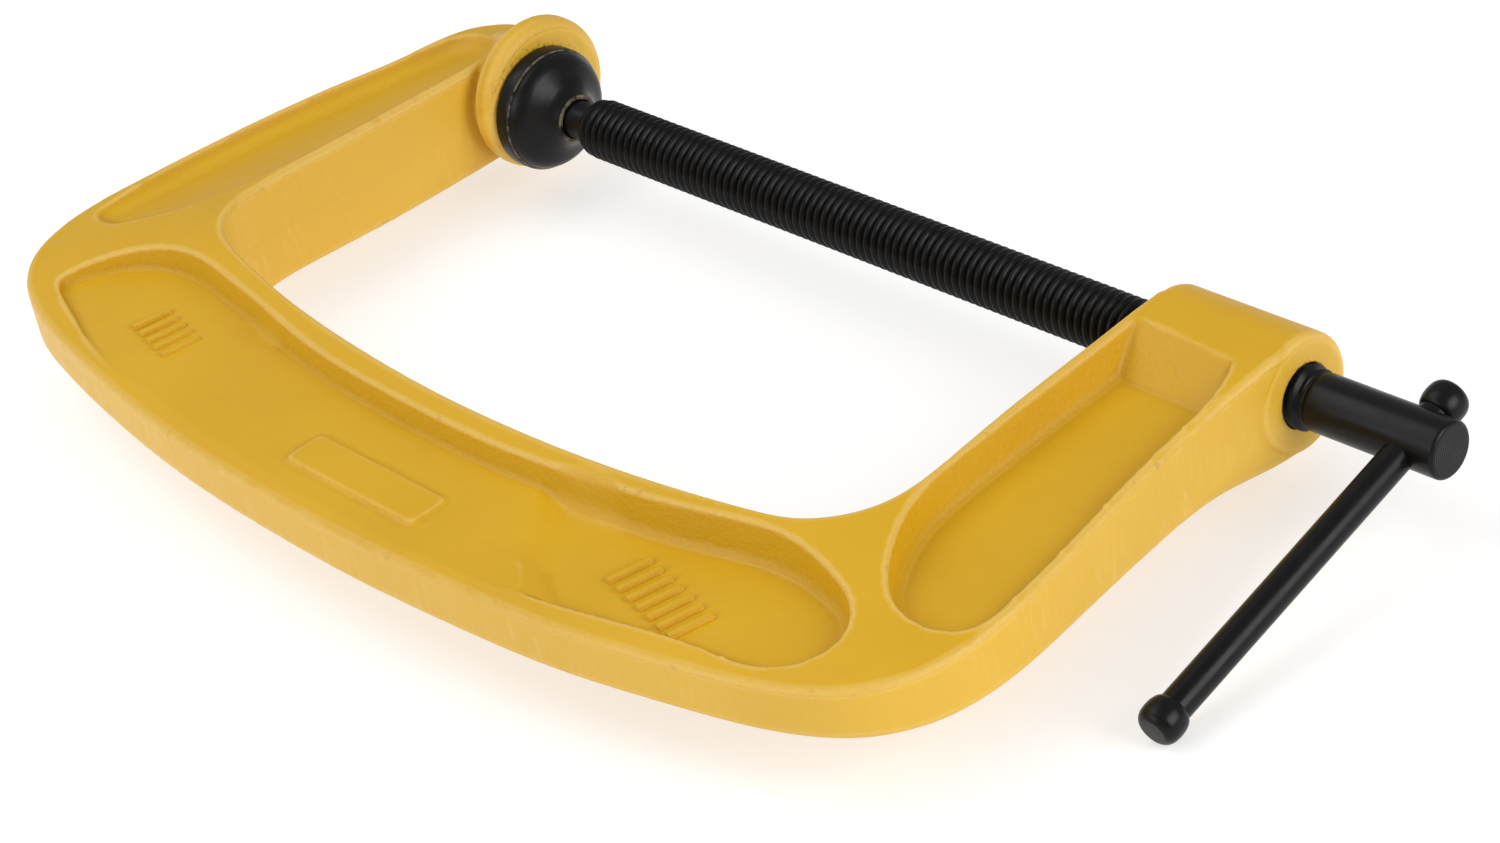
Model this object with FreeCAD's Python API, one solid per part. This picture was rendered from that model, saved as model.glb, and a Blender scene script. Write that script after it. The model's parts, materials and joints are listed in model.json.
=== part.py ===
import FreeCAD, Part
import math
import os

V = FreeCAD.Vector

# Frame of the model: origin where the screw axis meets the anvil face, +X along the screw towards
# the handle, the spine of the C on the -Y side, +Z square to the plane of the C. Millimetres.

# Ribs across the C from the anvil round to the boss: inner (x, y, half height), outer (x, y, half height)
RIBS = [
    ((-9, 13, 12.8), (-23, 14, 11.6)),
    ((-9.3, 4, 14.2), (-32, 6, 12.3)),
    ((-10, -14, 14.6), (-38.4, -12.5, 11.7)),
    ((-11.8, -38, 14.9), (-45.5, -35, 11.2)),
    ((-14.4, -62, 14.8), (-52.5, -63, 10.5)),
    ((-16.2, -84.2, 14.8), (-58.2, -93.1, 9.6)),
    ((-14.2, -92.6, 15.1), (-60, -111.2, 8.9)),
    ((-9.6, -98.6, 15.1), (-55.9, -128.2, 8)),
    ((-2, -102.9, 15.1), (-42, -140.5, 7.2)),
    ((8, -106, 15), (-20, -148.2, 6.8)),
    ((24, -110, 15), (3.9, -153.8, 6.6)),
    ((50.1, -114.7, 14.9), (38, -159.7, 6.6)),
    ((83.1, -118.3, 14.8), (75.1, -163.1, 6.7)),
    ((112, -119.6, 14.8), (110, -164.4, 6.8)),
    ((145, -118.8, 14.8), (145, -163.7, 6.9)),
    ((175.1, -116, 14.9), (180.1, -161.4, 6.8)),
    ((199.3, -112.2, 15), (213.6, -155.9, 6.6)),
    ((211.2, -108.3, 15.1), (241.4, -148.7, 6.7)),
    ((218.1, -102.1, 15.1), (257.2, -139.1, 7)),
    ((222.2, -94.5, 15.1), (265.5, -125.3, 7.6)),
    ((223.6, -84.3, 15.1), (267.7, -106.9, 8.3)),
    ((222.6, -68, 15.1), (265.4, -84.1, 9.1)),
    ((221.2, -44.9, 15.1), (261.5, -54, 10.2)),
    ((220.6, -22, 15.1), (260, -26, 11.9)),
    ((220.2, -11, 15.1), (261.2, -13, 13.7)),
    ((219.9, 0, 14.95), (261.8, 0, 14.6)),
]

# Pockets in both faces: plan loop of the floor, floor height, floor slope along X and Y from a
# pivot, and the wall as (height above the floor, step outward) pairs
WALL = [(0, 0), (0.5, 1.0), (1.7, 1.8), (16, 5.6)]
GROOVE_WALL = [(0, 0), (0.5, 1.8), (1.6, 4.2), (3.2, 6.2), (12, 8.8)]
ARM_POCKET = dict(
    loop=[
        (-48.5, -106), (-47.5, -89), (-46, -76), (-44, -65), (-41.5, -54), (-38.2, -42),
        (-35, -31), (-31.5, -20), (-28, -9), (-23.5, -3), (-18.5, -4), (-16.5, -12),
        (-17.5, -30), (-18.5, -48), (-21, -70), (-28, -91), (-41, -104),
    ],
    floor=6.4, slope=(0.24, -0.036), pivot=(-52, -90), wall=GROOVE_WALL,
)
SPINE_POCKET = dict(
    loop=[
        (-36, -131), (-29.5, -122), (-19, -115.6), (-5, -114.4), (8, -116.6), (24, -119.8),
        (48, -125), (90, -129.2), (127, -129.8), (160, -127), (189, -122.5), (209, -118.8),
        (226, -120.6), (240, -129.6), (238, -139.5), (216, -146.8), (182, -152.8), (127, -158.2),
        (70, -157), (23, -151.6), (-14, -142), (-30, -135.5),
    ],
    floor=5.0, slope=(0, 0), pivot=(0, 0), wall=WALL,
)
BOSS_POCKET = dict(
    loop=[
        (227.6, -12), (228, -46), (228.8, -68), (231, -90), (237.5, -105), (249, -115.4),
        (260.3, -113.5), (262.4, -99), (259.8, -78), (256.4, -56), (254.4, -36), (252.4, -20),
        (246, -9), (235, -7),
    ],
    floor=5.6, slope=(0, 0), pivot=(0, 0), wall=WALL,
)
# Raised part of the spine pocket's floor, level with the outer rim, and the long slope up to it
PLATEAU = dict(
    loop=[
        (5, -112), (60, -117), (110, -120), (146, -121), (156, -134), (165, -144.5),
        (175, -152), (187, -160), (180, -168), (145, -172), (100, -174), (50, -172),
        (5, -166), (0, -140),
    ],
    floor=3.0, slope=(0, 0.012), pivot=(0, -160), wall=[(0, 0), (1.6, -0.8), (4.4, -8)],
)
SHELF = dict(x=(-50, 24), y=(-166, -108), low=5.2, high=7.4)
RAMP = dict(foot=-24, head=-11, top=15.0)

PANEL = dict(x=(78, 126), y=-147.5, width=11.0, top=8.2)

EDGE_C = 1.1

# Anvil
ANVIL_R = 20.6
ANVIL_Y = 2.9
ANVIL_Z = 1.8
ANVIL_RIM = 6.2
ANVIL_BACK = 31.0

# Boss
BOSS_X0 = 220.4
BOSS_X1 = 262.0
BOSS_R = 14.9
BOSS_EDGE_R = 1.8
BORE_R = 7.95

# Screw
PITCH = 2.5
CREST_R = 7.88
ROOT_R = 6.55
THREAD_X0 = 22.3
THREAD_X1 = 264.9
NECK_R = 5.1
BALL_R = 5.7
BALL_X = 8.0
HEAD_R = 7.1
HEAD_X = 303.6
CROSS_X = 293.3
CROSS_R = 3.96

# Swivel pad
PAD_GAP = 0.2
PAD_R = 16.6
PAD_RIM = 4.6
SHOULDER_X = 9.3
SHOULDER_R = 12.6
LIP_X = 14.6
LIP_R = 6.5
SOCKET_R = 5.78
LIP_BORE = 5.18

# Handle bar
BAR_R = 3.9
BAR_TILT = 12.5
KNOB_R = 5.3
KNOB_LEN = 7.6
KNOB_STOP = 7.5
KNOB_FAR = 87.5


def spline(points, knots):
    curve = Part.BSplineCurve()
    curve.interpolate(Points=points, Parameters=knots)
    return curve


def rib_knots():
    knots = [0.0]
    for a, b in zip(RIBS[:-1], RIBS[1:]):
        inner = math.hypot(b[0][0] - a[0][0], b[0][1] - a[0][1])
        outer = math.hypot(b[1][0] - a[1][0], b[1][1] - a[1][1])
        knots.append(knots[-1] + (inner + outer) / 2)
    return knots


KNOTS = rib_knots()


def rib_section(rib):
    """Eight corners of the chamfered section at a rib, in order round the section."""
    a, b = V(*rib[0][:2], 0), V(*rib[1][:2], 0)
    across = (b - a).normalize()
    corners = []
    for sign in (1, -1):
        inner = [
            a + V(0, 0, sign * (rib[0][2] - EDGE_C)),
            a + across * EDGE_C + V(0, 0, sign * rib[0][2]),
        ]
        outer = [
            b - across * EDGE_C + V(0, 0, sign * rib[1][2]),
            b + V(0, 0, sign * (rib[1][2] - EDGE_C)),
        ]
        ring = inner + outer
        corners += ring if sign > 0 else ring[::-1]
    return corners


def ribbon():
    """The C itself: eight swept faces between the rails and a flat face at each end."""
    sections = [rib_section(r) for r in RIBS]
    rails = [spline([sec[i] for sec in sections], KNOTS).toShape() for i in range(8)]
    faces = [Part.makeRuledSurface(rails[i], rails[(i + 1) % 8]) for i in range(8)]
    for sec in (sections[0], sections[-1]):
        faces.append(Part.Face(Part.makePolygon(sec + sec[:1])))
    shell = Part.makeShell(faces)
    shell.sewShape()
    return outward(Part.makeSolid(shell))


def outward(body):
    if body.Volume < 0:
        body.reverse()
    return body


def loop_wire(spec, height, step, sign):
    """Closed smooth loop of a pocket at a height above its floor, grown outward by a step."""
    base = Part.BSplineCurve()
    base.interpolate(Points=[V(x, y, 0) for x, y in spec["loop"]], PeriodicFlag=True)
    turn = 1 if signed_area(spec["loop"]) > 0 else -1
    points = []
    steps = 3 * len(spec["loop"])
    span = base.LastParameter - base.FirstParameter
    for i in range(steps):
        t = base.FirstParameter + span * i / steps
        p, d = base.value(t), base.tangent(t)[0]
        grow = step * turn
        x, y = p.x + d.y * grow, p.y - d.x * grow
        dx, dy = x - spec["pivot"][0], y - spec["pivot"][1]
        z = spec["floor"] + height + spec["slope"][0] * dx + spec["slope"][1] * dy
        points.append(V(x, y, sign * z))
    curve = Part.BSplineCurve()
    curve.interpolate(Points=points, PeriodicFlag=True)
    return Part.Wire(curve.toShape())


def signed_area(loop):
    pairs = zip(loop, loop[1:] + loop[:1])
    return sum(a[0] * b[1] - b[0] * a[1] for a, b in pairs) / 2


def pocket(spec, sign):
    wires = [loop_wire(spec, height, step, sign) for height, step in spec["wall"]]
    return outward(Part.makeLoft(wires, True, True))


def shelf(sign):
    """Slope rising along the spine to the plateau."""
    (x0, x1), (y0, y1) = SHELF["x"], SHELF["y"]
    tilt = PLATEAU["slope"][1]
    points = []
    for x, z in ((x0, SHELF["low"]), (x1, SHELF["high"])):
        for y in (y0, y1):
            points.append(V(x, y, sign * (z + tilt * (y - PLATEAU["pivot"][1]))))
    corners = [points[0], points[2], points[3], points[1]]
    face = Part.Face(Part.makePolygon(corners + corners[:1]))
    return outward(face.extrude(V(0, 0, -4 * sign)))


def plateau(sign):
    """The raised floor and the slope up to it, filled in up to the outer rim."""
    start = SHELF["x"][1] - 0.3
    raised = pocket(PLATEAU, sign).common(Part.makeBox(200, 100, 60, V(start, -200, -30)))
    return raised.fuse(shelf(sign).common(pocket(SPINE_POCKET, sign)))


def ramp(sign):
    """Sloping end of the boss pocket, up to the flat beside the boss."""
    base = BOSS_POCKET["floor"] - 0.5
    corners = [
        V(215, RAMP["foot"], sign * base),
        V(215, RAMP["head"], sign * RAMP["top"]),
        V(215, 0, sign * RAMP["top"]),
        V(215, 0, sign * base),
    ]
    face = Part.Face(Part.makePolygon(corners + corners[:1]))
    wedge = outward(face.extrude(V(60, 0, 0)))
    return wedge.common(pocket(BOSS_POCKET, sign))


def panel(sign):
    """Plain raised panel on the plateau."""
    x0, x1 = PANEL["x"]
    block = Part.makeBox(x1 - x0, PANEL["width"], PANEL["top"] - 3)
    block = block.makeFillet(2.0, [e for e in block.Edges if abs(e.tangentAt(0).z) > 0.9])
    z = 3 if sign > 0 else -PANEL["top"]
    block.translate(V(x0, PANEL["y"] - PANEL["width"] / 2, z))
    block.rotate(V((x0 + x1) / 2, PANEL["y"], 0), V(0, 0, 1), -1.5)
    return block


def revolve(points, arcs=()):
    """Solid of revolution about X from (x, r) points; arcs maps a segment to its middle point."""
    arcs = dict(arcs)
    edges = []
    for i, (a, b) in enumerate(zip(points[:-1], points[1:])):
        p, q = V(a[0], a[1], 0), V(b[0], b[1], 0)
        if i in arcs:
            m = V(arcs[i][0], arcs[i][1], 0)
            edges.append(Part.Arc(p, m, q).toShape())
        else:
            edges.append(Part.LineSegment(p, q).toShape())
    first, last = points[0], points[-1]
    edges.append(Part.LineSegment(V(last[0], last[1], 0), V(first[0], first[1], 0)).toShape())
    face = Part.Face(Part.Wire(edges))
    return face.revolve(V(0, 0, 0), V(1, 0, 0), 360)


def anvil():
    """Round anvil flange flowing back into the end of the arm."""
    points = [
        (-ANVIL_BACK, 0),
        (-ANVIL_BACK + 3.5, 8.5),
        (-18, 13.2),
        (-ANVIL_RIM, ANVIL_R - 0.4),
        (-ANVIL_RIM + 0.6, ANVIL_R),
        (-3.2, ANVIL_R),
        (0, ANVIL_R - 3.2),
        (0, 0),
    ]
    arcs = [(0, (-ANVIL_BACK + 0.9, 5.0)), (2, (-11.0, 15.9)), (5, (-0.94, ANVIL_R - 0.94))]
    body = revolve(points, arcs)
    body.translate(V(0, ANVIL_Y, ANVIL_Z))
    return body


def boss():
    body = Part.makeCylinder(BOSS_R, BOSS_X1 - BOSS_X0, V(BOSS_X0, 0, 0), V(1, 0, 0))
    ends = [e for e in body.Edges if isinstance(e.Curve, Part.Circle)]
    return body.makeFillet(BOSS_EDGE_R, ends)


def frame():
    bow = ribbon()
    body = bow.fuse(anvil())
    for sign in (1, -1):
        for spec in (ARM_POCKET, SPINE_POCKET, BOSS_POCKET):
            body = body.cut(pocket(spec, sign))
        for filling in (plateau(sign), ramp(sign), panel(sign)):
            body = body.fuse(filling.common(bow))
    body = body.fuse(boss())
    bore = Part.makeCylinder(BORE_R, 80, V(BOSS_X0 - 20, 0, 0), V(1, 0, 0))
    return body.cut(bore)


def ridge_points():
    """Thread outline as evenly spaced ridges with flat roots and narrow crests."""
    points = []
    count = int((THREAD_X1 - THREAD_X0) / PITCH) + 1
    for i in range(count):
        x = THREAD_X0 + i * PITCH
        height = (CREST_R - ROOT_R) * min(1.0, 0.35 + 0.3 * i)
        crest = ROOT_R + height
        points.append((x - 1.05, ROOT_R))
        points.append((x - 0.42, crest))
        points.append((x + 0.42, crest))
        points.append((x + 1.05, ROOT_R))
    return points


def screw():
    joint_x = BALL_X + math.sqrt(BALL_R ** 2 - NECK_R ** 2)
    points = [
        (BALL_X - BALL_R, 0),
        (joint_x, NECK_R),
        (THREAD_X0 - 2.2, NECK_R),
        (THREAD_X0 - 1.3, ROOT_R),
    ]
    points += ridge_points()
    points += [
        (THREAD_X1 + 1.2, ROOT_R),
        (THREAD_X1 + 1.8, HEAD_R),
        (HEAD_X - 0.5, HEAD_R),
        (HEAD_X, HEAD_R - 0.5),
        (HEAD_X, 0),
    ]
    angle = math.radians(110)
    mid = (BALL_X + BALL_R * math.cos(angle), BALL_R * math.sin(angle))
    body = revolve(points, [(0, mid)])
    hole = Part.makeCylinder(CROSS_R, 40, V(CROSS_X, 0, 0) - bar_axis() * 20, bar_axis())
    return body.cut(hole)


def swivel_pad():
    """Bell-shaped shoe: flat face, straight rim, round shoulder, then a sweep down to the lip."""
    points = [
        (PAD_GAP, 0),
        (PAD_GAP, PAD_R - 0.8),
        (PAD_GAP + 0.8, PAD_R),
        (PAD_RIM, PAD_R),
        (PAD_RIM + 0.6, PAD_R - 0.6),
        (SHOULDER_X, SHOULDER_R),
        (LIP_X - 0.5, LIP_R + 0.1),
        (LIP_X, LIP_R - 0.4),
        (LIP_X, 0),
    ]
    body = revolve(points, [(4, (7.6, 14.9)), (5, (11.2, 9.0))])
    body = body.cut(Part.makeSphere(SOCKET_R, V(BALL_X, 0, 0)))
    return body.cut(Part.makeCylinder(LIP_BORE, 10, V(BALL_X, 0, 0), V(1, 0, 0)))


def bar_axis():
    tilt = math.radians(BAR_TILT)
    return V(0, -math.cos(tilt), -math.sin(tilt))


def bar_point(s):
    return V(CROSS_X, 0, 0) + bar_axis() * s


def handle_bar():
    start = -KNOB_STOP - 4.0
    return Part.makeCylinder(BAR_R, KNOB_FAR + 4.0 - start, bar_point(start), bar_axis())


def knob(s0, s1, blind):
    """Barrel knob between two stations on the bar; blind says which end the bar enters."""
    body = Part.makeCylinder(KNOB_R, s1 - s0, bar_point(s0), bar_axis())
    rims = [e for e in body.Edges if isinstance(e.Curve, Part.Circle)]
    body = body.makeFillet(1.6, rims)
    start = s0 - 1 if blind == "start" else s1 - 4.0 + 0.4
    if blind == "start":
        return body.cut(Part.makeCylinder(BAR_R, 1 + 4.0, bar_point(start), bar_axis()))
    return body.cut(Part.makeCylinder(BAR_R, 6.0, bar_point(start - 0.4), bar_axis()))


def main():
    os.makedirs("parts", exist_ok=True)
    nodes = {
        "frame": frame(),
        "screw": screw(),
        "swivel_pad": swivel_pad(),
        "handle_bar": handle_bar(),
        "handle_knob_upper": knob(-KNOB_STOP - KNOB_LEN, -KNOB_STOP, "end"),
        "handle_knob_lower": knob(KNOB_FAR, KNOB_FAR + KNOB_LEN, "start"),
    }
    for name, shape in nodes.items():
        shape.exportStep("parts/" + name + ".step")


main()
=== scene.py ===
import json
import math

import bmesh
import bpy
import numpy as np
from mathutils import Matrix, Vector


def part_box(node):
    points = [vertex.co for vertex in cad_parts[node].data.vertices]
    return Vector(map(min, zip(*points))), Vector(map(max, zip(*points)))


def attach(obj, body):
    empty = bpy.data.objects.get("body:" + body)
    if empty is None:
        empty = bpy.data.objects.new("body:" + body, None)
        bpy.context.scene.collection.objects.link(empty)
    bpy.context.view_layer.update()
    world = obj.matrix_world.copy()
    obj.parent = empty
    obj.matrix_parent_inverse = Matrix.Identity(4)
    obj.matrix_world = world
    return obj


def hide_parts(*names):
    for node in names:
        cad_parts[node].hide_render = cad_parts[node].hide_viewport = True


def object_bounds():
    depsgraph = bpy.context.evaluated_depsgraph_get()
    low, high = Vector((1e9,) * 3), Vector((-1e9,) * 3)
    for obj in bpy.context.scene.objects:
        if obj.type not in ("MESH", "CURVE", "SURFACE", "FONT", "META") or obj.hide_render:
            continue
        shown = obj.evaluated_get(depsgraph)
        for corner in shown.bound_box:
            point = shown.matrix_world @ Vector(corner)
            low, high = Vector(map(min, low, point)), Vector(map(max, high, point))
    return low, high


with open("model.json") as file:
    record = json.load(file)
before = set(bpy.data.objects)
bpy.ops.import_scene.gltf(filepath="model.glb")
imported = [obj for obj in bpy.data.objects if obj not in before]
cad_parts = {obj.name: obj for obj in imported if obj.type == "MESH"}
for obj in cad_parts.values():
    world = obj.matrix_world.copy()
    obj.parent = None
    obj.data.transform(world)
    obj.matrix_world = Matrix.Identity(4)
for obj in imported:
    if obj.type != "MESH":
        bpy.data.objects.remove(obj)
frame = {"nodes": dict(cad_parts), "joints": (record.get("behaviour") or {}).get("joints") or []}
CAD_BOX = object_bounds()
NODES = frame["nodes"]
JOINTS = {j["name"]: j for j in frame["joints"]}

MM = 0.001

# Camera: the photograph's viewpoint, in metres in the row frame
CAM_AT = Vector((0.8312, -0.6001, 0.5683))
CAM_RIGHT = Vector((0.6919, 0.7008, -0.1745))
CAM_DOWN = Vector((0.2988, -0.4977, -0.8145))
CAM_LENS = 105.4

# Studio: name, place, size and watts of each soft light, all aimed at the middle of the clamp
LIGHTS = (
    ("key", (-0.2, -1.5, 0.8), (1.2, 0.8), 8.2),
    ("side", (1.5, 0.2, 0.6), (0.8, 0.9), 13.3),
    ("top", (-0.55, -0.45, 1.3), (1.1, 1.1), 8.0),
)
LIGHT_AIM = (0.12, -0.08, 0)
WORLD_GLOW = 0.46
FLOOR_GLOW = 0.55
FLOOR_SIZE = 6.0
FLOOR_GAP = 0.0002

# Casting, in metres: remeshing grid, share of faces kept, boss end, bore, and the plug that closes
# the CAD bore so that a true round one can be cut
VOXEL = 0.62 * MM
KEEP_FACES = 0.5
BOSS_END = 262.0 * MM
BORE_R = 8.05 * MM
PLUG_R = 8.6 * MM

# Places where a step in the spine floor runs out softly:
# x, y, reach along x and reach along y in mm, rounds of smoothing
SOFT_SPOTS = (
    (26, -121.5, 14, 4, 80),
    (157, -135, 16, 15, 70),
)

# Rows of plain raised bars: side, centre, count, spacing and length in mm
BAR_ROWS = (
    ("left", (7, -133, 7.1), 5, 4.4, 11),
    ("right", (194, -139.5, 5.1), 7, 4.6, 12),
)
BAR_WIDTH = 1.9
BAR_HEIGHT = 2.2
BAR_LEAN = math.radians(-14)
BAR_EDGE = 0.5

# Screw, in mm from the anvil face
SEGMENTS = 64
AXIS_R = 0.05
BALL_X = 8.0
BALL_R = 5.7
BALL_TO_NECK = 2.55
NECK_X = 11.0
NECK_R = 5.1
PITCH = 2.5
CREST_R = 7.9
ROOT_R = 6.5
CREST_FLAT = 0.14
THREAD_START = 20.8
THREAD_STOP = 265.6
RUN_IN = 4.5
COLLAR_R = 6.4
HEAD_R = 7.1

# Knob: share of its length from the bar's side, and radius in mm where the widest is KNOB_R
KNOB_R = 5.3
KNOB_SHAPE = (
    (0, AXIS_R), (0, 4.1), (0.10, 4.75), (0.30, 5.2), (0.52, 5.3), (0.74, 5.15), (0.90, 4.6),
    (1.0, 3.7), (1.0, AXIS_R),
)

# Paint and steel colours, with the enamel's painted shade, highlight and sheen tints
ENAMEL_LOW = (0.615, 0.345, 0.005)
ENAMEL_HIGH = (0.660, 0.378, 0.007)
# painted shade: darker enamel on sloping walls, where shade falls
WALL_PAINTED_SHADE = (0.54, 0.285, 0.003, 1)
# painted shade: darker enamel in hollows and recesses
HOLLOW_PAINTED_SHADE = (0.47, 0.235, 0.003, 1)
# edge wear together with a painted highlight along proud edges
EDGE_WEAR_AND_HIGHLIGHT = (0.80, 0.54, 0.15, 1)
SCRAPE_TINT = (0.84, 0.60, 0.22, 1)
# painted sheen: paler enamel on upright sides, where light glances off them
SIDE_PAINTED_SHEEN = (0.80, 0.53, 0.13, 1)
CHIP_SHADE = (0.42, 0.24, 0.05, 1)
DIRT_SHADE = (0.16, 0.085, 0.02, 1)
SCREW_BLACK = (0.0042, 0.0042, 0.0046)
PAD_BLACK = (0.0052, 0.0052, 0.0058)
BAR_BLACK = (0.0046, 0.0044, 0.0046)
BARE_STEEL = (0.24, 0.20, 0.13, 1)


# ---------------------------------------------------------------- materials

class Nodes:
    """Short way to build a node tree."""

    def __init__(self, name):
        self.mat = bpy.data.materials.new(name)
        self.mat.use_nodes = True
        self.tree = self.mat.node_tree
        self.bsdf = self.tree.nodes["Principled BSDF"]

    def add(self, kind, links=(), **values):
        """New node with its sockets linked and its own settings made."""
        node = self.tree.nodes.new(kind)
        for key, value in values.items():
            setattr(node, key, value)
        for key, socket in dict(links).items():
            self.tree.links.new(socket, node.inputs[key])
        return node

    def feed(self, socket, value):
        """Links another node's output, or sets a constant."""
        if isinstance(value, bpy.types.NodeSocket):
            self.tree.links.new(value, socket)
        else:
            socket.default_value = value

    def finish(self, **inputs):
        """Feeds the shader's inputs, named with underscores, and gives the material."""
        for key, value in inputs.items():
            self.feed(self.bsdf.inputs[key.replace("_", " ")], value)
        return self.mat

    def coords(self, scale=(1, 1, 1)):
        """Places in metres in the object's own axes, stretched by scale."""
        tex = self.add("ShaderNodeTexCoord")
        node = self.add("ShaderNodeMapping", {"Vector": tex.outputs["Object"]})
        node.inputs["Scale"].default_value = scale
        return node.outputs["Vector"]

    def noise(self, vector, scale, detail=3.0, rough=0.5):
        node = self.add("ShaderNodeTexNoise", {"Vector": vector})
        node.inputs["Scale"].default_value = scale
        node.inputs["Detail"].default_value = detail
        node.inputs["Roughness"].default_value = rough
        return node.outputs["Fac"]

    def ramp(self, fac, stops):
        """Colour ramp through (position, colour) stops."""
        node = self.add("ShaderNodeValToRGB", {"Fac": fac})
        elements = node.color_ramp.elements
        while len(elements) < len(stops):
            elements.new(0.5)
        for element, (at, value) in zip(elements, stops):
            element.position = at
            element.color = (*value, 1)
        return node.outputs["Color"]

    def grey(self, fac, stops):
        """Ramp through (position, level) stops."""
        return self.ramp(fac, [(at, (v, v, v)) for at, v in stops])

    def mix(self, fac, a, b):
        node = self.add("ShaderNodeMix", data_type="RGBA")
        for socket, value in ((node.inputs[0], fac), (node.inputs[6], a), (node.inputs[7], b)):
            self.feed(socket, value)
        return node.outputs[2]

    def math(self, op, a, b=0.0, clamp=False):
        node = self.add("ShaderNodeMath", operation=op, use_clamp=clamp)
        for socket, value in zip(node.inputs, (a, b)):
            self.feed(socket, value)
        return node.outputs[0]

    def times(self, a, b):
        return self.math("MULTIPLY", a, b)

    def off_axis(self, y, z):
        """Distance from the X axis."""
        return self.math("SQRT", self.math("ADD", self.times(y, y), self.times(z, z)))

    def bump(self, layers):
        """Normal after (height, strength, depth in metres) layers, one on another."""
        normal = None
        for height, strength, depth in layers:
            node = self.add("ShaderNodeBump", {"Height": height})
            node.inputs["Strength"].default_value = strength
            node.inputs["Distance"].default_value = depth
            if normal is not None:
                self.tree.links.new(normal, node.inputs["Normal"])
            normal = node.outputs["Normal"]
        return normal

    def xyz(self, vector):
        return self.add("ShaderNodeSeparateXYZ", {"Vector": vector}).outputs


def enamel_masks(n):
    """Where the enamel's colour and relief change: upright sides, sloping walls, proud edges and hollows;
    the colour changes there are partly painted shade, highlight and sheen.
    """
    steep = n.math("ABSOLUTE", n.xyz(n.add("ShaderNodeTexCoord").outputs["Normal"])[2])
    crease = n.add("ShaderNodeAttribute", attribute_name="crease").outputs["Fac"]
    return {
        "side": n.grey(steep, [(0.10, 1), (0.22, 0)]),
        "wall": n.grey(steep, [(0.16, 0), (0.26, 1), (0.84, 1), (0.95, 0)]),
        "edge": n.grey(crease, [(0.57, 0), (0.80, 1)]),
        "hollow": n.grey(crease, [(0.28, 1), (0.46, 0)]),
    }


def anvil_dirt(n, at):
    """Dark flecks on the upper half of the anvil face."""
    x, y, z = n.xyz(at)
    near = n.math("SUBTRACT", 1.0, n.times(n.math("ABSOLUTE", x), 220.0), True)
    above = n.math("GREATER_THAN", y, -0.025)
    fleck = n.grey(n.noise(at, 700, 4, 0.7), [(0.54, 0), (0.62, 1)])
    ring = n.grey(n.times(n.off_axis(y, z), 40.0), [(0.64, 1), (0.78, 0)])
    upper = n.grey(n.times(z, 50.0), [(0.2, 0), (0.5, 1)])
    return n.times(n.times(n.times(fleck, near), n.times(upper, above)), ring)


def enamel_colour(n, at, masks, marks):
    """Enamel with painted shade on sloping walls and in hollows, paler on edges from wear and a painted
    highlight, a painted sheen on upright sides, scrape streaks on the sides, chips and anvil dirt.
    """
    patches = n.grey(n.noise(at, 45, 3, 0.6), [(0.42, 0), (0.62, 1)])
    scuffs = n.noise(n.coords((1, 1, 0.5)), 240, 3, 0.6)
    streak = n.times(n.times(n.grey(marks, [(0.50, 0), (0.72, 1)]), masks["side"]), patches)
    chip = n.times(masks["edge"], n.grey(scuffs, [(0.64, 0), (0.72, 1)]))
    base = n.ramp(n.noise(at, 26, 3, 0.5), [(0.3, ENAMEL_LOW), (0.7, ENAMEL_HIGH)])
    for mask, amount, colour in (
        # painted shade on sloping walls
        (masks["wall"], 0.35, WALL_PAINTED_SHADE),
        # painted shade in hollows
        (masks["hollow"], 0.30, HOLLOW_PAINTED_SHADE),
        # paler proud edges: wear and a painted highlight
        (masks["edge"], 0.5, EDGE_WEAR_AND_HIGHLIGHT),
        (streak, 0.28, SCRAPE_TINT),
        # painted sheen on upright sides
        (masks["side"], 0.24, SIDE_PAINTED_SHEEN),
        (chip, 0.4, CHIP_SHADE),
        (anvil_dirt(n, at), 0.75, DIRT_SHADE),
    ):
        base = n.mix(n.times(mask, amount), base, colour)
    return base


def mould_seam(n, at, side):
    """Thin parting line along the left end, at mid height."""
    x, _, z = n.xyz(at)
    level = n.grey(n.times(n.math("ABSOLUTE", z), 1000.0), [(0.15, 1), (0.55, 0)])
    span = n.times(n.math("GREATER_THAN", x, -0.022), n.math("LESS_THAN", x, -0.006))
    return n.times(n.times(level, span), side)


def enamel():
    """Yellow-orange enamel sprayed over a sand casting, ground along its side walls."""
    n = Nodes("yellow_enamel")
    at = n.coords()
    masks = enamel_masks(n)
    lumps = n.noise(at, 260, 3, 0.55)
    marks = n.noise(n.coords((1, 1, 0.16)), 620, 4, 0.7)
    normal = n.bump((
        (n.noise(at, 1100, 4, 0.65), 0.30, 0.0002),
        (n.times(n.noise(at, 720, 4, 0.7), masks["wall"]), 0.45, 0.0007),
        (lumps, 0.26, 0.0006),
        (n.times(marks, masks["side"]), 0.22, 0.00035),
        (mould_seam(n, at, masks["side"]), 0.4, 0.0003),
    ))
    return n.finish(
        Base_Color=enamel_colour(n, at, masks, marks),
        Roughness=n.grey(lumps, [(0.3, 0.36), (0.7, 0.50)]),
        Normal=normal,
        Coat_Weight=0.04,
        Coat_Roughness=0.28,
        Specular_IOR_Level=0.34,
    )


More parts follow.
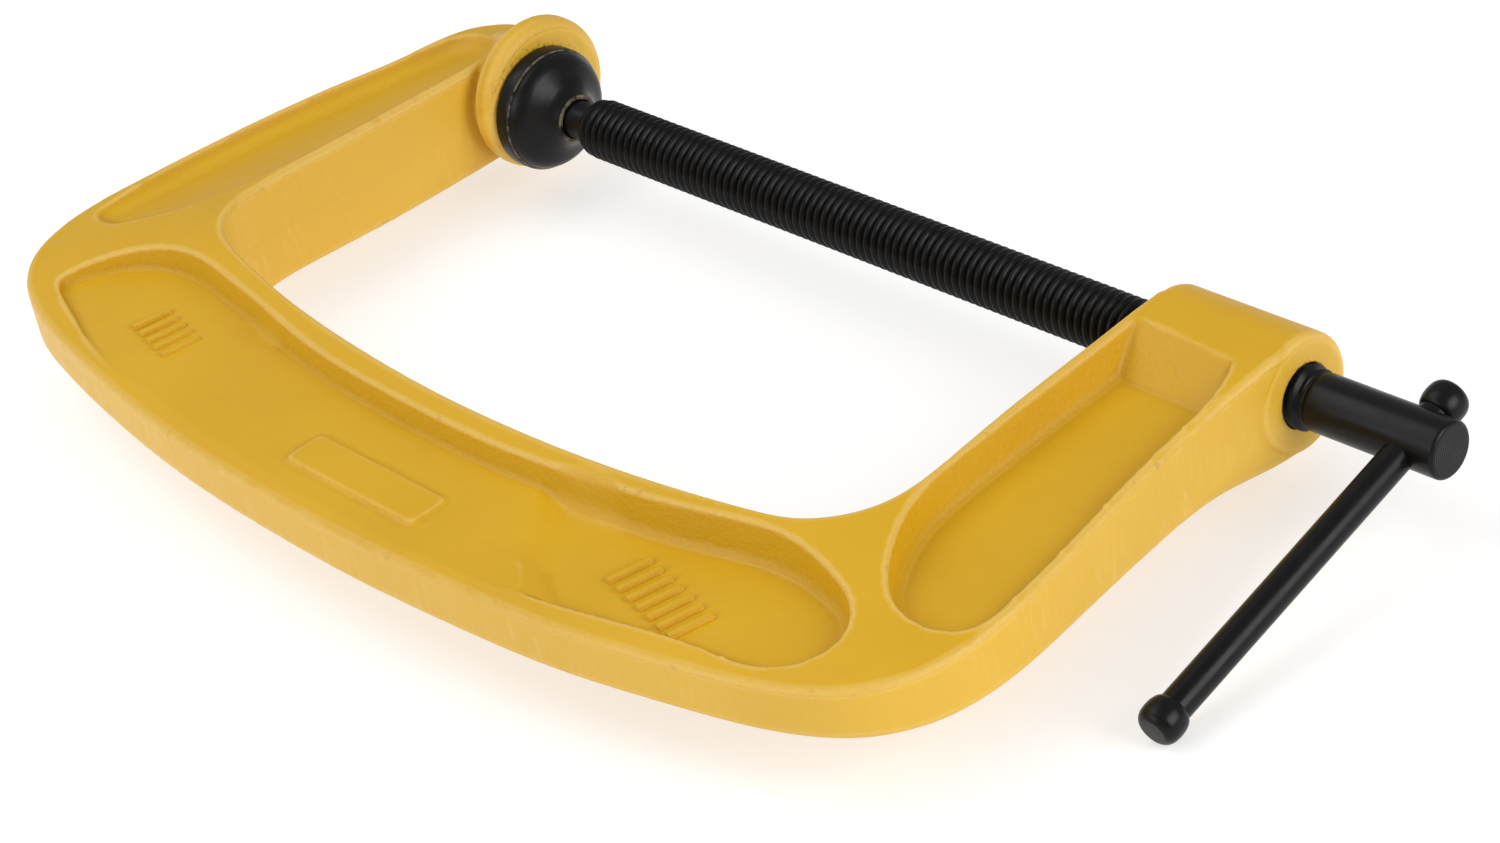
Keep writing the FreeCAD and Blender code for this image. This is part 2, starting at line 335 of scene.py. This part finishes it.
def black_steel(name, shade, rough, bands=(), rings=None):
    """Black oxide steel with an oiled satin sheen. Bands are the (x, half width, amount) of worn
    rings where the steel shows bare; rings is the x past which an end face has turning marks."""
    n = Nodes(name)
    at = n.coords()
    x, y, z = n.xyz(at)
    broad = n.noise(at, 120, 3, 0.6)
    patch = n.grey(n.noise(at, 420, 3, 0.6), [(0.36, 0), (0.62, 1)])
    base = n.ramp(broad, [(0.3, tuple(0.72 * c for c in shade)), (0.7, shade)])
    for place, half, amount in bands:
        gap = n.math("ABSOLUTE", n.math("SUBTRACT", x, place))
        band = n.grey(n.math("DIVIDE", gap, half), [(0.4, 1), (1.0, 0)])
        base = n.mix(n.times(n.times(band, patch), amount), base, BARE_STEEL)
    layers = [(n.noise(at, 1400, 3, 0.6), 0.16, 0.0001)]
    if rings:
        turned_marks = n.math("SINE", n.times(n.off_axis(y, z), 9000.0))
        layers.append((n.times(turned_marks, n.math("GREATER_THAN", x, rings)), 0.2, 0.0001))
    low, high = rough
    return n.finish(
        Base_Color=base,
        Roughness=n.grey(broad, [(0.3, low), (0.7, high)]),
        Normal=n.bump(layers),
        Specular_IOR_Level=0.17,
    )


def floor_paint():
    """Matt pale floor that glows a little, like a lit studio table."""
    n = Nodes("pale_floor")
    soft = n.noise(n.coords(), 3, 2, 0.5)
    return n.finish(
        Base_Color=n.grey(soft, [(0.3, 0.54), (0.7, 0.56)]),
        Roughness=0.9,
        Emission_Color=(1, 1, 1, 1),
        Emission_Strength=FLOOR_GLOW,
    )


# ------------------------------------------------------------------- meshes

def place_object(data, name):
    """New object in the scene from a mesh, a light or a camera."""
    obj = bpy.data.objects.new(name, data)
    bpy.context.scene.collection.objects.link(obj)
    return obj


def link(mesh, name, material, smooth=True):
    """Visible object with one material."""
    obj = place_object(mesh, name)
    mesh.materials.clear()
    if material:
        mesh.materials.append(material)
    mesh.polygons.foreach_set("use_smooth", [smooth] * len(mesh.polygons))
    return obj


def lathe(name, xs, radii, material, place=Matrix.Identity(4)):
    """Closed turned mesh about X, in metres: radii is (rows,) or (rows, segments)."""
    radii = np.asarray(radii, float)
    if radii.ndim == 1:
        radii = np.repeat(radii[:, None], 96, axis=1)
    rows, segs = radii.shape
    turn = 2 * np.pi * np.arange(segs) / segs
    co = np.empty((rows * segs + 2, 3))
    co[:-2, 0] = np.repeat(xs, segs)
    co[:-2, 1] = (radii * np.cos(turn)).ravel()
    co[:-2, 2] = (radii * np.sin(turn)).ravel()
    co[-2] = (xs[0], 0, 0)
    co[-1] = (xs[-1], 0, 0)
    i = np.arange(rows - 1)[:, None] * segs
    j = np.arange(segs)[None, :]
    k = (j + 1) % segs
    quads = np.stack([i + j, i + k, i + segs + k, i + segs + j], -1).reshape(-1, 4)
    last = (rows - 1) * segs
    near = [(len(co) - 2, int(b), int(a)) for a, b in zip(j[0], k[0])]
    far = [(len(co) - 1, last + int(a), last + int(b)) for a, b in zip(j[0], k[0])]
    mesh = bpy.data.meshes.new(name)
    mesh.from_pydata([tuple(place @ Vector(c)) for c in co], [], quads[:, ::-1].tolist() + near + far)
    bm = bmesh.new()
    bm.from_mesh(mesh)
    bmesh.ops.recalc_face_normals(bm, faces=bm.faces)
    bm.to_mesh(mesh)
    bm.free()
    return link(mesh, name, material)


def turned(name, line, material, place=Matrix.Identity(4)):
    """Turned piece from a profile of (x, radius) rows in mm."""
    return lathe(name, line[:, 0] * MM, line[:, 1] * MM, material, place)


def rod(x0, x1, radius):
    """Plain rod on the screw axis, in metres, used only to fill or cut."""
    axis = 0.0001 * MM
    return lathe("tool", [x0, x0, x1, x1], [axis, radius, radius, axis], None)


def rounded(points, radius, steps=6):
    """Polyline of (x, r) points with its inner corners rounded."""
    out = [np.array(points[0], float)]
    for a, b, c in zip(points[:-2], points[1:-1], points[2:]):
        a, b, c = (np.array(p, float) for p in (a, b, c))
        back, on = a - b, c - b
        cut = min(radius, np.linalg.norm(back) * 0.45, np.linalg.norm(on) * 0.45)
        start = b + back / np.linalg.norm(back) * cut
        end = b + on / np.linalg.norm(on) * cut
        for t in np.linspace(0, 1, steps):
            out.append((1 - t) ** 2 * start + 2 * t * (1 - t) * b + t ** 2 * end)
    out.append(np.array(points[-1], float))
    return np.array(out)


def vertex_rows(mesh, kind):
    """Places ("co") or normals ("normal") of the vertices, one row each."""
    values = np.empty(len(mesh.vertices) * 3)
    mesh.vertices.foreach_get(kind, values)
    return values.reshape(-1, 3)


def edge_pairs(mesh):
    """Numbers of the two vertices of every edge."""
    pairs = np.empty(len(mesh.edges) * 2, int)
    mesh.edges.foreach_get("vertices", pairs)
    return pairs.reshape(-1, 2)


def toward_neighbours(co, a, b):
    """Function that gives each point's way to the mean of its neighbours, along edges a to b."""
    count = len(co)
    degree = np.bincount(np.concatenate([a, b]), minlength=count)[:, None]

    def way(rows):
        total = np.zeros_like(rows)
        for axis in range(3):
            total[:, axis] = np.bincount(a, rows[b, axis], count) + np.bincount(b, rows[a, axis], count)
        return total / degree - rows

    return way


def relax(mesh, rounds, push, pull):
    """Vertex places after rounds of smoothing; pull gives back what each push shrinks."""
    co = vertex_rows(mesh, "co")
    way = toward_neighbours(co, *edge_pairs(mesh).T)
    for _ in range(rounds):
        for weight in (push, -pull):
            co = co + weight * way(co)
    return co


def soften(mesh, co, spots):
    """Smooths both faces of the casting near each soft spot, less and less towards its rim."""
    pairs = edge_pairs(mesh)
    for x, y, reach_x, reach_y, rounds in spots:
        away = np.hypot((co[:, 0] - x * MM) / (reach_x * MM), (co[:, 1] - y * MM) / (reach_y * MM))
        near = pairs[(away[pairs] < 1).all(1)]
        index, flat = np.unique(near, return_inverse=True)
        part = co[index]
        weight = np.clip(1.6 * (1 - away[index]), 0, 0.6)[:, None]
        way = toward_neighbours(part, *flat.reshape(-1, 2).T)
        for _ in range(rounds):
            part += weight * way(part)
        co[index] = part
    return co


def modified(obj, kind, **settings):
    """The object's mesh after one modifier; the object itself is removed."""
    modifier = obj.modifiers.new("step", kind)
    for key, value in settings.items():
        setattr(modifier, key, value)
    graph = bpy.context.evaluated_depsgraph_get()
    mesh = bpy.data.meshes.new_from_object(obj.evaluated_get(graph))
    bpy.data.objects.remove(obj)
    return mesh


def keep_crease(mesh, values):
    """Point attribute that the enamel reads: above 0.5 on edges, below it in hollows."""
    mesh.attributes.new("crease", "FLOAT", "POINT").data.foreach_set("value", values)


def measure_crease(mesh, rounds, scale):
    """Keeps how far each point stands proud of its surroundings, or below them."""
    proud = vertex_rows(mesh, "co") - relax(mesh, rounds, 0.6, 0.0)
    height = (proud * vertex_rows(mesh, "normal")).sum(1)
    keep_crease(mesh, np.clip(0.5 + height / scale, 0, 1))


def plug_bore(mesh):
    """Welds the CAD mesh and adds a plug that closes its bore."""
    plug = rod(BOSS_END - 38 * MM, BOSS_END - 0.02 * MM, PLUG_R)
    bm = bmesh.new()
    bm.from_mesh(mesh)
    bmesh.ops.remove_doubles(bm, verts=bm.verts, dist=1e-6)
    bm.from_mesh(plug.data)
    bm.to_mesh(mesh)
    bm.free()
    bpy.data.objects.remove(plug)


def cast_frame(material):
    """The casting: the CAD node's shape with cast-soft edges and a true round bore."""
    low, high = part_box("frame")
    mesh = NODES["frame"].data.copy()
    plug_bore(mesh)
    mesh = modified(place_object(mesh, "cast_step"), "REMESH", mode="VOXEL", voxel_size=VOXEL)
    co = soften(mesh, relax(mesh, 9, 0.5, 0.44), SOFT_SPOTS)
    co = np.clip(co, np.array(low), np.array(high))
    mesh.vertices.foreach_set("co", co.ravel())
    mesh.update()
    measure_crease(mesh, 8, 0.5 * MM)
    solid = place_object(mesh, "cast_step")
    mesh = modified(solid, "DECIMATE", decimate_type="COLLAPSE", ratio=KEEP_FACES)
    drill = rod(BOSS_END - 60 * MM, BOSS_END + 20 * MM, BORE_R)
    solid = place_object(mesh, "cast_step")
    mesh = modified(solid, "BOOLEAN", operation="DIFFERENCE", object=drill, solver="EXACT")
    bpy.data.objects.remove(drill)
    return link(mesh, "cast_frame", material)


def raised_bars(name, centre, count, spacing, length, material, sign):
    """Row of short plain bars standing on the floor of the spine pocket."""
    bm = bmesh.new()
    turn = Matrix.Rotation(BAR_LEAN, 3, "Z")
    size = Vector((BAR_WIDTH, length, BAR_HEIGHT)) * MM
    for i in range(count):
        along = Vector(((i - (count - 1) / 2) * spacing, 0, 0)) * MM
        for v in bmesh.ops.create_cube(bm, size=1)["verts"]:
            v.co = turn @ (Vector(a * b for a, b in zip(v.co, size)) + along) + Vector(centre) * MM
    bmesh.ops.bevel(bm, geom=bm.edges[:], offset=BAR_EDGE * MM, segments=3, affect="EDGES", profile=0.5)
    for v in bm.verts:
        v.co.z *= sign
    bmesh.ops.recalc_face_normals(bm, faces=bm.faces)
    mesh = bpy.data.meshes.new(name)
    bm.to_mesh(mesh)
    bm.free()
    keep_crease(mesh, np.full(len(mesh.vertices), 0.56))
    return link(mesh, name, material)


def ball_and_neck():
    """Profile of the ball tip and of the neck up to the thread."""
    angles = np.linspace(math.pi, math.acos(BALL_TO_NECK / BALL_R), 14)
    ball = [(BALL_X + BALL_R * math.cos(a), max(BALL_R * math.sin(a), AXIS_R)) for a in angles]
    neck = [(x, NECK_R) for x in np.linspace(NECK_X, THREAD_START - 0.4, 6)]
    return np.array(ball + neck)


def thread_height(phase):
    """Height from root (0) to crest (1) over one pitch, flat at crest and root."""
    t = np.abs((phase % 1.0) - 0.5) * 2
    return 1 - np.clip((1 - t - CREST_FLAT) / (1 - 2 * CREST_FLAT), 0, 1)


def thread_rows():
    """Places along the thread and the radii round the axis at each, as a right-hand helix."""
    xs = np.arange(THREAD_START, THREAD_STOP, PITCH / 12)
    turn = np.arange(SEGMENTS) / SEGMENTS
    past = (xs - THREAD_START)[:, None]
    depth = 0.15 + 0.85 * np.clip(past / RUN_IN, 0, 1) ** 0.7
    radii = ROOT_R + (CREST_R - ROOT_R) * thread_height(xs[:, None] / PITCH - turn[None, :]) * depth
    radii = NECK_R + (radii - NECK_R) * np.clip(past / 1.2, 0, 1)
    radii = COLLAR_R + (radii - COLLAR_R) * np.clip((THREAD_STOP - xs) / 0.8, 0, 1)[:, None]
    return xs, radii


def collar_and_head(end):
    """Profile from the end of the thread over the head to the middle of its end face."""
    neck = [(0, COLLAR_R), (0.9, COLLAR_R), (1.3, HEAD_R - 0.25), (2.0, HEAD_R)]
    points = [(THREAD_STOP + x, r) for x, r in neck]
    points += [(end - 0.7, HEAD_R), (end, HEAD_R - 0.7)]
    points += [(end, r) for r in (5, 3.4, 1.8, AXIS_R)]
    return rounded(points, 0.5, 5)


def helical_screw(material):
    """Spindle: ball tip, neck, rolled thread, collar and head."""
    tip = ball_and_neck()
    xs, radii = thread_rows()
    tail = collar_and_head(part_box("screw")[1].x / MM)
    plain = [np.repeat(part[:, 1:2], SEGMENTS, 1) for part in (tip, tail)]
    xs = np.concatenate([tip[:, 0], xs, tail[:, 0]])
    radii = np.concatenate([plain[0], radii, plain[1]])
    return lathe("threaded_screw", xs * MM, radii * MM, material)


def shoe(material):
    """Swivel pad: flat face, rolled rim, bell that sweeps up to the lip round the neck."""
    low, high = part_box("swivel_pad")
    face, lip, rim = low.x / MM, high.x / MM, high.z / MM
    disc = [(face, AXIS_R), (face, rim - 0.6), (face + 0.5, rim), (4.5, rim), (5.3, rim - 0.7)]
    bell = [(6.5, 15.5), (7.7, 14.7), (8.7, 13.5), (9.5, 12.0), (10.4, 10.3), (11.5, 8.7), (12.7, 7.5)]
    throat = [(13.7, 6.9), (lip - 0.2, 6.5), (lip, 6.2), (lip, 5.35), (lip - 1.2, 5.3), (lip - 1.2, AXIS_R)]
    return turned("swivel_shoe", rounded(disc + bell + throat, 0.5, 5), material)


def bar_matrix():
    """Axes of the handle bar: X along the bar, away from the upper knob."""
    along = -Vector(JOINTS["bar_slide"]["axis"]).normalized()
    side = Vector((1, 0, 0))
    low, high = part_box("handle_bar")
    turn = Matrix((along, side, along.cross(side))).transposed().to_4x4()
    return Matrix.Translation((low + high) / 2) @ turn


def bar_span(node, place):
    """Where a node starts and ends along the bar, and its radius, in mm."""
    inverse = place.inverted()
    co = [inverse @ v.co for v in NODES[node].data.vertices]
    xs = [c.x for c in co]
    rs = [math.hypot(c.y, c.z) for c in co]
    return min(xs) / MM, max(xs) / MM, max(rs) / MM


def tommy_bar(material, place):
    """Bar with eased ends and rows enough along it for an even surface."""
    a, b, r = bar_span("handle_bar", place)
    ends = rounded([(a, AXIS_R), (a, r - 0.3), (a + 0.3, r), (b - 0.3, r), (b, r - 0.3), (b, AXIS_R)], 0.3)
    middle = np.column_stack([np.linspace(a + 2, b - 2, 40), np.full(40, r)])
    half = len(ends) // 2
    return turned("slide_bar", np.concatenate([ends[:half], middle, ends[half:]]), material, place)


def barrel(name, node, material, place, flip):
    """Knob: a barrel with a domed back, waisted in where it meets the bar."""
    a, b, r = bar_span(node, place)
    if flip:
        a, b = b, a
    line = rounded([(a + (b - a) * t, q * r / KNOB_R) for t, q in KNOB_SHAPE], 0.6, 5)
    if flip:
        line = line[::-1]
    return turned(name, line, material, place)


# -------------------------------------------------------------------- build

PAD_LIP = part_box("swivel_pad")[1].x
HEAD_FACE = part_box("screw")[1].x - 0.0001
paint = enamel()
screw_black = black_steel("screw_black", SCREW_BLACK, (0.25, 0.38), (), HEAD_FACE)
pad_black = black_steel("pad_black", PAD_BLACK, (0.26, 0.38),
                        ((0.0049, 0.0003, 0.55), (PAD_LIP, 0.0004, 0.75)))
bar_black = black_steel("bar_black", BAR_BLACK, (0.26, 0.38))

casting = cast_frame(paint)
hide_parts("frame")
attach(casting, "frame")
for face_name, face_sign in (("top", 1), ("under", -1)):
    for row_name, *row in BAR_ROWS:
        bars = raised_bars("bars_" + row_name + "_" + face_name, *row, paint, face_sign)
        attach(bars, "frame")

spindle = helical_screw(screw_black)
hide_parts("screw")
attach(spindle, "screw")

pad = shoe(pad_black)
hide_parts("swivel_pad")
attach(pad, "pad")

BAR_PLACE = bar_matrix()
handle = tommy_bar(bar_black, BAR_PLACE)
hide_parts("handle_bar")
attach(handle, "handle")
for knob_name, knob_node, flipped in (
    ("upper_knob", "handle_knob_upper", True),
    ("lower_knob", "handle_knob_lower", False),
):
    knob = barrel(knob_name, knob_node, bar_black, BAR_PLACE, flipped)
    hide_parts(knob_node)
    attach(knob, "handle")


# ------------------------------------------------------- floor, light, camera

def make_floor():
    level = CAD_BOX[0].z - FLOOR_GAP
    size = FLOOR_SIZE
    corners = [(-size, -size, level), (size, -size, level), (size, size, level), (-size, size, level)]
    mesh = bpy.data.meshes.new("floor")
    mesh.from_pydata(corners, [], [(0, 1, 2, 3)])
    floor = link(mesh, "floor", floor_paint(), smooth=False)


def make_lights():
    for name, at, size, power in LIGHTS:
        data = bpy.data.lights.new(name, "AREA")
        data.shape = "RECTANGLE"
        data.size, data.size_y = size
        data.energy = power
        light = place_object(data, name)
        light.location = at
        light.rotation_euler = (Vector(LIGHT_AIM) - Vector(at)).to_track_quat("-Z", "Y").to_euler()
    world = bpy.data.worlds.new("studio")
    bpy.context.scene.world = world
    world.use_nodes = True
    back = world.node_tree.nodes["Background"]
    back.inputs["Color"].default_value = (1, 1, 1, 1)
    back.inputs["Strength"].default_value = WORLD_GLOW


def make_camera():
    data = bpy.data.cameras.new("camera")
    data.lens = CAM_LENS
    data.sensor_width = 36
    data.clip_start, data.clip_end = 0.05, 50
    right, up = CAM_RIGHT.normalized(), -CAM_DOWN.normalized()
    back = right.cross(up).normalized()
    axes = Matrix((right, back.cross(right), back)).transposed().to_4x4()
    cam = place_object(data, "camera")
    cam.matrix_world = Matrix.Translation(CAM_AT) @ axes
    bpy.context.scene.camera = cam


make_floor()
make_lights()
make_camera()
bpy.context.scene.view_settings.view_transform = "Standard"
